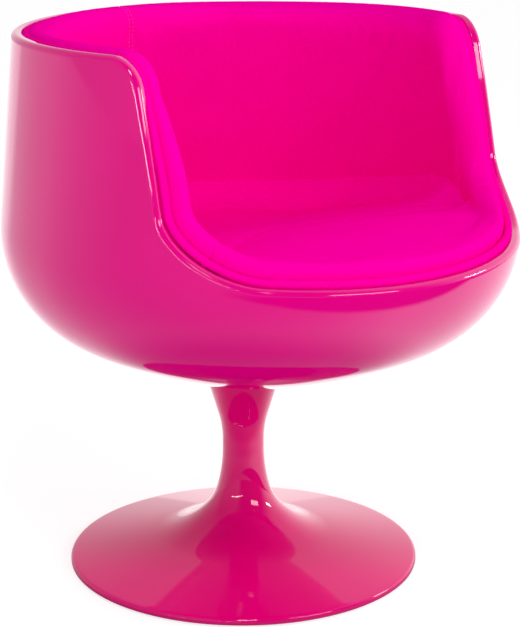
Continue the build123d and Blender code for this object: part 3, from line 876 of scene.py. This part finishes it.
def plywood(name):
    """Birch: long pale fibres on the face, dark glue lines on edge. Its 1.4 mm layers are too fine to show,
    so the wave draws them about 4.4 mm thick: at a scale of 1 its bands are 314 mm apart."""
    made, tree, where = new_material(name)
    along = add_node(tree, "ShaderNodeMapping", {"Vector": where, "Scale": (1, 0.08, 1)})
    fibre = add_node(tree, "ShaderNodeTexNoise",
                     {"Vector": along.outputs[0], "Scale": 1 / (3 * MM), "Detail": 4.0})
    wood = add_node(tree, "ShaderNodeMix", {0: fibre.outputs[0], 6: colour("#C9A676"), 7: colour("#DDBF92")},
                    data_type="RGBA")
    layers = add_node(tree, "ShaderNodeTexWave",
                      {"Vector": where, "Scale": 1 / (14 * MM), "Distortion": 0.3}, bands_direction="Z")
    glue = add_node(tree, "ShaderNodeMapRange", {0: layers.outputs[0], 1: 0.3, 2: 0.7, 3: 0.0, 4: 0.35})
    tone = add_node(tree, "ShaderNodeMix", {0: glue.outputs[0], 6: wood.outputs[2], 7: colour("#A98455")},
                    data_type="RGBA")
    rough = add_node(tree, "ShaderNodeMapRange", {0: fibre.outputs[0], 1: 0.3, 2: 0.7, 3: 0.5, 4: 0.65})
    shader = add_node(tree, "ShaderNodeBsdfPrincipled",
                      {"Base Color": tone.outputs[2], "Roughness": rough.outputs[0], "IOR": 1.5})
    add_node(tree, "ShaderNodeOutputMaterial", {"Surface": shader.outputs[0]})
    return made


birch_plywood = plywood("Birch plywood")
print("plywood made")

# %% Metals, nylon, felt and stove paint


def metal(name, low, high, rough_low, rough_high, size, stretch=(1, 1, 1)):
    """A bare or plated metal: its tone and gloss vary with the grain of its finish."""
    made, tree, where = new_material(name)
    turned = add_node(tree, "ShaderNodeMapping", {"Vector": where, "Scale": stretch})
    marks = add_node(tree, "ShaderNodeTexNoise",
                     {"Vector": turned.outputs[0], "Scale": 1 / (size * MM), "Detail": 3.0})
    tone = add_node(tree, "ShaderNodeMix", {0: marks.outputs[0], 6: colour(low), 7: colour(high)},
                    data_type="RGBA")
    rough = add_node(tree, "ShaderNodeMapRange",
                     {0: marks.outputs[0], 1: 0.3, 2: 0.7, 3: rough_low, 4: rough_high})
    shader = add_node(tree, "ShaderNodeBsdfPrincipled",
                      {"Base Color": tone.outputs[2], "Metallic": 1.0, "Roughness": rough.outputs[0]})
    add_node(tree, "ShaderNodeOutputMaterial", {"Surface": shader.outputs[0]})
    return made


def matt(name, low, high, rough_low, rough_high, size):
    """Nylon, felt and stove paint: a fine mottle in tone, gloss and relief."""
    made, tree, where = new_material(name)
    marks = add_node(tree, "ShaderNodeTexNoise", {"Vector": where, "Scale": 1 / (size * MM), "Detail": 4.0})
    tone = add_node(tree, "ShaderNodeMix", {0: marks.outputs[0], 6: colour(low), 7: colour(high)},
                    data_type="RGBA")
    rough = add_node(tree, "ShaderNodeMapRange",
                     {0: marks.outputs[0], 1: 0.3, 2: 0.7, 3: rough_low, 4: rough_high})
    relief = add_node(tree, "ShaderNodeBump",
                      {"Height": marks.outputs[0], "Strength": 0.2, "Distance": 0.3 * MM})
    shader = add_node(tree, "ShaderNodeBsdfPrincipled",
                      {"Base Color": tone.outputs[2], "IOR": 1.5, "Roughness": rough.outputs[0],
                       "Normal": relief.outputs[0]})
    add_node(tree, "ShaderNodeOutputMaterial", {"Surface": shader.outputs[0]})
    return made


inner_finishes = {
    "plywood": birch_plywood,
    "zinc_steel": metal("Bright zinc plating", "#B9BEC2", "#D2D6D8", 0.28, 0.42, 2.5),
    "machined_steel": metal("Turned steel", "#A5A8AA", "#BFC2C4", 0.22, 0.35, 0.8, (1, 1, 8)),
    "black_steel": matt("Black stove paint", "#17181A", "#242527", 0.35, 0.55, 1.5),
    "spring_steel": metal("Blued spring steel", "#3E434C", "#565C66", 0.3, 0.4, 1.0),
    "bearing_steel": metal("Ground bearing steel", "#C6C9CB", "#DADCDD", 0.08, 0.16, 1.5),
    "brass_cage": metal("Stamped brass", "#B8924C", "#CDA963", 0.25, 0.38, 2.0),
    "white_nylon": matt("White nylon", "#E2E0D8", "#EDEBE4", 0.38, 0.5, 1.2),
    "grey_felt": matt("Grey pressed felt", "#55565A", "#77787C", 0.9, 1.0, 0.8),
}
print(len(inner_finishes), "inner finishes")

# %% [markdown]
# ## The welts
# A welt is a cord wrapped in the cover cloth and sewn into the edge. It follows the rim all the way, so
# Geometry Nodes sweep a round section along the route; one tree serves both welts and takes the radius,
# the step and the small puckers of the sewing as named inputs. A hand-made strip would have to be redone
# for every change of the rim.

# %% A sweep along a route


def new_tree(name, **sizes):
    """A Geometry Nodes tree that takes a route, named sizes and a material, and its inputs."""
    tree = bpy.data.node_groups.new(name, "GeometryNodeTree")
    tree.interface.new_socket("Geometry", in_out="INPUT", socket_type="NodeSocketGeometry")
    for size, value in sizes.items():
        socket = tree.interface.new_socket(size, in_out="INPUT", socket_type="NodeSocketFloat")
        socket.default_value = value
    tree.interface.new_socket("Material", in_out="INPUT", socket_type="NodeSocketMaterial")
    tree.interface.new_socket("Geometry", in_out="OUTPUT", socket_type="NodeSocketGeometry")
    return tree, add_node(tree, "NodeGroupInput").outputs


def sweep_tree():
    tree, given = new_tree("swept cord", Radius=0.005, Step=0.005, Pucker=0.05, **{"Pucker Length": 0.01})
    route = add_node(tree, "GeometryNodeMeshToCurve", {"Mesh": given["Geometry"]})
    even = add_node(tree, "GeometryNodeResampleCurve",
                    {"Curve": route.outputs["Curve"], "Length": given["Step"]}, mode="LENGTH")
    place = add_node(tree, "GeometryNodeInputPosition")
    scale = add_node(tree, "ShaderNodeMath", {0: 1.0, 1: given["Pucker Length"]}, operation="DIVIDE")
    noise = add_node(tree, "ShaderNodeTexNoise",
                     {"Vector": place.outputs[0], "Scale": scale.outputs[0], "Detail": 1.0})
    swing = add_node(tree, "ShaderNodeMath", {0: noise.outputs[0], 1: 0.5}, operation="SUBTRACT")
    width = add_node(tree, "ShaderNodeMath",
                     {0: swing.outputs[0], 1: given["Pucker"], 2: 1.0}, operation="MULTIPLY_ADD")
    section = add_node(tree, "GeometryNodeCurvePrimitiveCircle",
                       {"Resolution": 20, "Radius": given["Radius"]})
    cord = add_node(tree, "GeometryNodeCurveToMesh",
                    {"Curve": even.outputs[0], "Profile Curve": section.outputs[0],
                     "Scale": width.outputs[0], "Fill Caps": True})
    smooth = add_node(tree, "GeometryNodeSetShadeSmooth", {"Geometry": cord.outputs[0]})
    real = add_node(tree, "GeometryNodeRealizeInstances", {"Geometry": smooth.outputs[0]})
    made = add_node(tree, "GeometryNodeSetMaterial",
                    {"Geometry": real.outputs[0], "Material": given["Material"]})
    add_node(tree, "NodeGroupOutput", {"Geometry": made.outputs[0]})
    return tree


cord_tree = sweep_tree()
print("the sweep has", len(cord_tree.nodes), "nodes")

# %% Run the sweep along the rim
welt_radius = 5.2
welt_drop, welt_depth, welt_share = 7.2, 18.6, 0.4
welt_lap = 2.2              # down the arms the welt leans on the lip
welt_tuck = 1.5             # the ends dip out of sight
seat_welt_points, back_welt_points = 400, 500


def follow(name, route, tree, **values):
    """Run a tree along a route in millimetres; values are the named inputs of the tree."""
    mesh = bpy.data.meshes.new(name)
    edges = [(i, i + 1) for i in range(len(route) - 1)]
    mesh.from_pydata((np.asarray(route) * MM).tolist(), edges, [])
    piece = bpy.data.objects.new(name, mesh)
    scene.collection.objects.link(piece)
    nodes = piece.modifiers.new(tree.name, "NODES")
    nodes.node_group = tree
    for item in tree.interface.items_tree:
        if item.in_out == "INPUT" and item.name in values:
            nodes[item.identifier] = values[item.name]
    apply_modifiers(piece)
    return piece


def welt_route(places, tuck):
    """Route of a welt through places along the rim; its ends dip out of sight by tuck."""
    part = Slice(places)
    drop = welt_drop - welt_share * part.proud
    steps = np.linalg.norm(np.diff(part.point(drop, welt_depth), axis=0), axis=1)
    along = np.append(0, np.cumsum(steps))
    to_end = np.minimum(along, along[-1] - along)
    dip = tuck * np.clip(1 - to_end / (2 * tuck), 0, 1) ** 2
    depth = welt_depth - welt_lap * (part.proud - proud_back) / (proud_front - proud_back)
    return part.point(drop + dip, depth)


seat_ends = (rim_index(-seam_angle - seam_overlap), rim_index(seam_angle + seam_overlap))
back_ends = (rim_index(seam_angle - seam_overlap), rim_index(-seam_angle + seam_overlap))
seat_places = np.linspace(*seat_ends, seat_welt_points)
back_places = np.concatenate([np.linspace(back_ends[0], len(rim_angle), back_welt_points),
                              np.linspace(0, back_ends[1], back_welt_points)[1:]])
cord_inputs = {"Radius": welt_radius * MM, "Step": 4 * MM, "Pucker": 0.06, "Pucker Length": 14 * MM,
               "Material": welt_wool}
seat_welt = follow("seat_front_welt", welt_route(seat_places, welt_tuck), cord_tree, **cord_inputs)
back_welt = follow("back_and_arm_welt", welt_route(back_places, welt_tuck), cord_tree, **cord_inputs)
print("welts", len(seat_welt.data.polygons), len(back_welt.data.polygons), "faces")

# %% [markdown]
# ## The stitches
# The two pads are sewn together behind the sitter and the seam is top-stitched on both sides. A stitch is a
# short thread pulled into the felt; a row of them follows the seam, so Geometry Nodes set one small bead on
# each step of a route and turn it along the route.

# %% A row of stitches


def stitch_tree():
    tree, given = new_tree("running stitches", Pitch=0.005, Length=0.003, Thread=0.0008)
    route = add_node(tree, "GeometryNodeMeshToCurve", {"Mesh": given["Geometry"]})
    steps = add_node(tree, "GeometryNodeResampleCurve",
                     {"Curve": route.outputs["Curve"], "Length": given["Pitch"]}, mode="LENGTH")
    tangent = add_node(tree, "GeometryNodeInputTangent")
    turn = add_node(tree, "FunctionNodeAlignRotationToVector", {"Vector": tangent.outputs[0]}, axis="Z")
    bead = add_node(tree, "GeometryNodeMeshUVSphere", {"Segments": 8, "Rings": 5, "Radius": 0.5})
    size = add_node(tree, "ShaderNodeCombineXYZ",
                    {"X": given["Thread"], "Y": given["Thread"], "Z": given["Length"]})
    row = add_node(tree, "GeometryNodeInstanceOnPoints",
                   {"Points": steps.outputs[0], "Instance": bead.outputs["Mesh"],
                    "Rotation": turn.outputs[0], "Scale": size.outputs[0]})
    real = add_node(tree, "GeometryNodeRealizeInstances", {"Geometry": row.outputs[0]})
    smooth = add_node(tree, "GeometryNodeSetShadeSmooth", {"Geometry": real.outputs[0]})
    made = add_node(tree, "GeometryNodeSetMaterial",
                    {"Geometry": smooth.outputs[0], "Material": given["Material"]})
    add_node(tree, "NodeGroupOutput", {"Geometry": made.outputs[0]})
    return tree


back_seam = stitch_tree()
print("the stitches have", len(back_seam.nodes), "nodes")

# %% Stitches along the back seam
stitch_offset = 2.6         # millimetres from the seam to a row
seam_points = 60


def seam_route(pad, side):
    """Points on a pad beside the back seam, from the seat up the face and over the roll."""
    middle = Slice(np.array([float(len(rim_angle))]))
    top = middle.at(crown_round - middle.proud)[1]
    heights = np.linspace(seat_top - seat_dip, top[0], seam_points)
    rows = [ring(180.0, lean_radius(z, pad_face), z) for z in heights]
    rows += middle.crown_rows()[::-1] + [middle.point(0.0, welt_face)]
    points = np.concatenate([row.reshape(1, 3) for row in rows])
    points[:, 0] += side
    on_pad = [pad.closest_point_on_mesh(Vector(p * MM))[1] for p in points]
    return np.array([tuple(p) for p in on_pad]) / MM


stitch_inputs = {"Pitch": 5 * MM, "Length": 3.2 * MM, "Thread": 0.9 * MM, "Material": thread}
right_route, left_route = seam_route(pad_right, stitch_offset), seam_route(pad_left, -stitch_offset)
stitches_right = follow("back_seam_stitches_right", right_route, back_seam, **stitch_inputs)
stitches_left = follow("back_seam_stitches_left", left_route, back_seam, **stitch_inputs)
print("stitches", len(stitches_right.data.polygons), "faces in each row")

# %% [markdown]
# ## Pieces on their bodies
# Everything above the bearing turns with the seat; the pedestal stays. Each new piece rides on its body,
# takes the place of its CAD node, if it has one, and gets its finish. The CAD nodes inside
# stay as they are and only get their finishes.

# %% Ride, replace and paint
made_pieces = [
    (shell, "seat", ["shell"], "shell_lacquer", shell_lacquer),
    (boss, "seat", [], "shell_lacquer", shell_lacquer),
    (pad_right, "seat", ["pad_right"], "felted_wool", wool),
    (pad_left, "seat", ["pad_left"], "felted_wool", wool),
    (seat, "seat", ["seat_cushion"], "felted_wool", wool),
    (seat_welt, "seat", ["seat_welt"], "welt_cloth", welt_wool),
    (back_welt, "seat", ["back_welt"], "welt_cloth", welt_wool),
    (stitches_right, "seat", [], "welt_cloth", thread),
    (stitches_left, "seat", [], "welt_cloth", thread),
    (pedestal, "base", ["pedestal"], "pedestal_lacquer", pedestal_lacquer),
]
replaced = set()
for piece, body, nodes, slot, finish in made_pieces:
    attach(piece, body)
    if nodes:
        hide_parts(*nodes)
        replaced.update(nodes)
    piece.data.materials.clear()
    piece.data.materials.append(finish)
for subpart in frame["record"]["subparts"]:
    if subpart["node"] not in replaced:
        node = frame["nodes"][subpart["node"]]
        node.data.materials.clear()
        node.data.materials.append(inner_finishes[subpart["material_slot"]])
print(len(made_pieces), "pieces made,", len(frame["nodes"]) - len(replaced), "CAD nodes shown")

# %% [markdown]
# ## Camera
# The picture is taken with a long lens from above and to the left of the chair's front, so the near arm
# hides part of the seat. The place and the lens were found from the outline of the base and the tub.

# %% Camera
sensor, lens = 36.0, 107.36                 # millimetres
camera_place = (-1.5587, -1.7011, 0.9734)
heading, pitch = (0.68253, 0.73086), math.radians(15.542)
camera = bpy.data.objects.new("camera", bpy.data.cameras.new("camera"))
scene.collection.objects.link(camera)
scene.camera = camera
camera.data.sensor_fit = "VERTICAL"
camera.data.sensor_height = sensor
camera.data.lens = lens
look = Vector((heading[0] * math.cos(pitch), heading[1] * math.cos(pitch), -math.sin(pitch)))
camera.location = camera_place
camera.rotation_euler = look.to_track_quat("-Z", "Y").to_euler()
print("camera at", [round(v, 3) for v in camera.location])

# %% [markdown]
# ## Studio
# The chair stands on a sheet of white paper in a white room. Gloss shows what surrounds it, and what the
# lacquer shows here is mostly the paper, whose glow is painted: painted light makes it brightest at the right
# and dimmer to the left, painted shadow darkens it close to the chair, and it ends less than a metre in
# front, where the dark of the room begins. That edge draws the dark band under the front lip. The camera
# itself sees plain white with a soft shadow.

# %% The floor
reach = 30.0
floor_mesh = bpy.data.meshes.new("floor")
floor_mesh.from_pydata([(-reach, -reach, 0), (reach, -reach, 0), (reach, reach, 0), (-reach, reach, 0)], [],
                       [(0, 1, 2, 3)])
floor = bpy.data.objects.new("floor", floor_mesh)
scene.collection.objects.link(floor)
print("floor", 2 * reach, "m wide")

# %% White paper
paper_white, paper_shadow = 1.25, 0.42      # what the camera sees: its glow and the share that takes shadow
tub_centre = (0.0, 0.0, 0.6)
# centre of the painted shadow in the floor's glow
shade_centre = (-0.1, -0.12, 0.0)


def paper_floor():
    """White paper: seen directly it takes the shadow; seen by the chair its glow is painted light and painted
    shadow.
    """
    made, tree, where = new_material("White paper floor")
    path = add_node(tree, "ShaderNodeLightPath").outputs
    fibre = add_node(tree, "ShaderNodeTexNoise", {"Vector": where, "Scale": 1 / (300 * MM), "Detail": 2.0})
    tone = add_node(tree, "ShaderNodeMix", {0: fibre.outputs[0], 6: colour("#FBFBFB"), 7: colour("#FFFFFF")},
                    data_type="RGBA")
    diffuse = add_node(tree, "ShaderNodeBsdfDiffuse", {"Color": tone.outputs[2]})
    white = add_node(tree, "ShaderNodeEmission", {"Color": colour("#FFFFFF"), "Strength": paper_white})
    seen = add_node(tree, "ShaderNodeMixShader",
                    {0: paper_shadow, 1: white.outputs[0], 2: diffuse.outputs[0]})
    # painted light: brighter at the right, and falling off to the left of the tub
    place = add_node(tree, "ShaderNodeSeparateXYZ", {"Vector": where}).outputs
    painted_light_right = add_node(tree, "ShaderNodeMapRange", {0: place["X"], 1: -0.4, 2: 0.2, 3: 1.05, 4: 1.55},
                    interpolation_type="SMOOTHSTEP")
    slant = add_node(tree, "ShaderNodeMath", {0: place["Y"], 1: 0.45, 2: place["X"]},
                     operation="MULTIPLY_ADD")
    far = add_node(tree, "ShaderNodeVectorMath", {0: where, 1: tub_centre}, operation="DISTANCE")
    turn = add_node(tree, "ShaderNodeMath", {0: slant.outputs[0], 1: far.outputs["Value"]},
                    operation="DIVIDE")
    fall = add_node(tree, "ShaderNodeMapRange", {0: turn.outputs[0], 1: -0.9, 2: -0.2, 3: 0.35, 4: 1.0})
    # the sheet ends in front of the chair, but not at the left
    front = add_node(tree, "ShaderNodeMapRange", {0: place["Y"], 1: -0.9, 2: -0.8, 3: 0.02, 4: 1.0},
                     interpolation_type="SMOOTHSTEP")
    left = add_node(tree, "ShaderNodeMapRange", {0: place["X"], 1: -1.6, 2: -0.7, 3: 1.0, 4: 0.0},
                    interpolation_type="SMOOTHSTEP")
    sheet = add_node(tree, "ShaderNodeMath", {0: front.outputs[0], 1: left.outputs[0]}, operation="MAXIMUM")
    # painted shadow close to the chair, in the glow that the gloss mirrors
    away = add_node(tree, "ShaderNodeVectorMath", {0: where, 1: shade_centre}, operation="DISTANCE")
    shade = add_node(tree, "ShaderNodeMapRange", {0: away.outputs["Value"], 1: 0.2, 2: 0.5, 3: 0.25, 4: 1.0},
                     interpolation_type="SMOOTHSTEP")
    lit = add_node(tree, "ShaderNodeMath", {0: painted_light_right.outputs[0], 1: fall.outputs[0]}, operation="MULTIPLY")
    edged = add_node(tree, "ShaderNodeMath", {0: lit.outputs[0], 1: sheet.outputs[0]}, operation="MULTIPLY")
    level = add_node(tree, "ShaderNodeMath", {0: edged.outputs[0], 1: shade.outputs[0]}, operation="MULTIPLY")
    # painted shadow close to the chair, in the glow that lights the chair
    dull = add_node(tree, "ShaderNodeMapRange", {0: away.outputs["Value"], 1: 0.15, 2: 0.6, 3: 0.3, 4: 1.0},
                    interpolation_type="SMOOTHSTEP")
    strength = add_node(tree, "ShaderNodeMix",
                        {0: path["Is Glossy Ray"], 2: dull.outputs[0], 3: level.outputs[0]})
    # the floor glows for the chair though it is no lamp: its glow is painted light and painted shadow
    glow = add_node(tree, "ShaderNodeEmission", {"Color": colour("#FFFFFF"), "Strength": strength.outputs[0]})
    either = add_node(tree, "ShaderNodeMixShader",
                      {0: path["Is Camera Ray"], 1: glow.outputs[0], 2: seen.outputs[0]})
    add_node(tree, "ShaderNodeOutputMaterial", {"Surface": either.outputs[0]})
    return made


floor_mesh.materials.append(paper_floor())
print("paper made")

# %% [markdown]
# The room gives soft light from all sides, a little less from the left and from the camera's side. In
# reflections it is bright behind the chair and to the right, paler at the left and dark round the camera.

# %% The white room
to_camera, to_right = (-0.68, -0.73, 0.0), (0.73, -0.68, 0.0)


def white_room():
    world = bpy.data.worlds.new("white room")
    world.use_nodes = True
    tree = world.node_tree
    tree.nodes.clear()
    path = add_node(tree, "ShaderNodeLightPath").outputs
    where = add_node(tree, "ShaderNodeTexCoord").outputs["Generated"]
    height_of = add_node(tree, "ShaderNodeSeparateXYZ", {"Vector": where}).outputs["Z"]
    ahead = add_node(tree, "ShaderNodeVectorMath", {0: where, 1: to_camera}, operation="DOT_PRODUCT")
    side = add_node(tree, "ShaderNodeVectorMath", {0: where, 1: to_right}, operation="DOT_PRODUCT")
    # what the gloss mirrors
    behind = add_node(tree, "ShaderNodeMapRange",
                      {0: ahead.outputs["Value"], 1: -0.35, 2: 0.3, 3: 1.0, 4: 0.04},
                      interpolation_type="SMOOTHSTEP")
    right = add_node(tree, "ShaderNodeMapRange", {0: side.outputs["Value"], 1: -0.6, 2: 0.6, 3: 0.6, 4: 1.3})
    low = add_node(tree, "ShaderNodeMapRange", {0: height_of, 1: 0.1, 2: 0.6, 3: 1.3, 4: 0.7})
    left = add_node(tree, "ShaderNodeMapRange", {0: side.outputs["Value"], 1: -0.5, 2: -0.05, 3: 0.6, 4: 0.0},
                    interpolation_type="SMOOTHSTEP")
    around = add_node(tree, "ShaderNodeMath", {0: behind.outputs[0], 1: left.outputs[0]}, operation="MAXIMUM")
    wide = add_node(tree, "ShaderNodeMath", {0: around.outputs[0], 1: right.outputs[0]}, operation="MULTIPLY")
    mirror = add_node(tree, "ShaderNodeMath", {0: wide.outputs[0], 1: low.outputs[0]}, operation="MULTIPLY")
    shown = add_node(tree, "ShaderNodeMath", {0: path["Is Glossy Ray"], 1: path["Is Transmission Ray"]},
                     operation="MAXIMUM")
    # what lights the chair
    open_front = add_node(tree, "ShaderNodeMapRange",
                          {0: ahead.outputs["Value"], 1: -0.2, 2: 0.7, 3: 0.95, 4: 0.5})
    far_left = add_node(tree, "ShaderNodeMapRange",
                        {0: side.outputs["Value"], 1: -0.9, 2: 0.6, 3: 0.5, 4: 1.0})
    soft = add_node(tree, "ShaderNodeMath", {0: open_front.outputs[0], 1: far_left.outputs[0]},
                    operation="MULTIPLY")
    dull = add_node(tree, "ShaderNodeMix", {0: shown.outputs[0], 2: soft.outputs[0], 3: mirror.outputs[0]})
    level = add_node(tree, "ShaderNodeMix", {0: path["Is Camera Ray"], 2: dull.outputs[0], 3: 1.0})
    sky = add_node(tree, "ShaderNodeBackground", {"Color": colour("#FFFFFF"), "Strength": level.outputs[0]})
    add_node(tree, "ShaderNodeOutputWorld", {"Surface": sky.outputs[0]})
    return world


scene.world = white_room()
print("room lit softly")

# %% [markdown]
# Four lamps stand round the camera: strips at the left and right, a wide one in front and one high over the
# camera, which lights the seat. The rolled lip and the stem show them as the thin white lines that make the
# lacquer look wet.

# %% Lamps
aim, lamp_distance = Vector((0.0, 0.0, 0.45)), 2.5


def lamp_at(name, bearing, rise, size, watts):
    """A lamp at a bearing from the front and a rise, in degrees, aimed at the chair."""
    direction = Vector((sind(bearing) * cosd(rise), -cosd(bearing) * cosd(rise), sind(rise)))
    place = aim + lamp_distance * direction
    lamp = bpy.data.lights.new(name, "AREA")
    lamp.shape = "RECTANGLE"
    lamp.size, lamp.size_y = size
    lamp.energy = watts
    made = bpy.data.objects.new(name, lamp)
    made.location = place
    made.rotation_euler = (aim - place).to_track_quat("-Z", "Y").to_euler()
    made.visible_camera = False
    scene.collection.objects.link(made)


lamp_at("left strip", -68.0, 9.0, (2.2, 0.06), 10.0)
lamp_at("front lamp", 2.0, 21.0, (1.2, 0.4), 13.5)
lamp_at("right strip", 57.0, 14.0, (0.6, 0.2), 9.0)
lamp_at("lamp over the camera", -40.0, 50.0, (0.45, 0.45), 14.0)
scene.view_settings.view_transform = "Standard"
